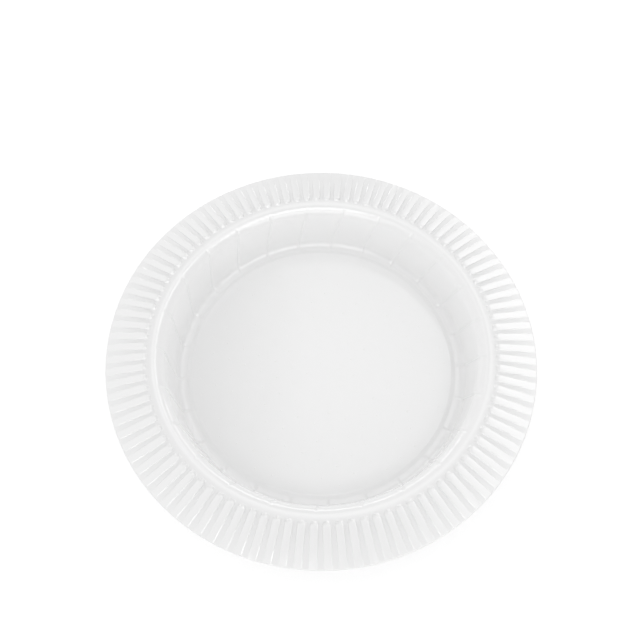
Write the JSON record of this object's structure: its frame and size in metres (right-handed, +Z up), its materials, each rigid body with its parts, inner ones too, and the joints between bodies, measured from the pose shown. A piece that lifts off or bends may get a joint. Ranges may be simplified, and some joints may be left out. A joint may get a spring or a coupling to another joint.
{
  "type": "disposable plate",
  "caption": "Deep round one-piece plate of thin glossy white plastic, with a raised floor, a steep wall with slanted grooves and a wide rim of radial flutes",
  "frame": {"origin": "on the plate's axis, on the surface that the plate rests on", "axes": "+Z up along the plate's axis, +Y towards the picture's far side, +X towards the picture's right"},
  "size_m": [0.21, 0.21, 0.0297],
  "materials": {
    "plastic": "smooth glossy milky white"
  },
  "bodies": {
    "root": {"plate": "plastic"}
  },
  "joints": []
}
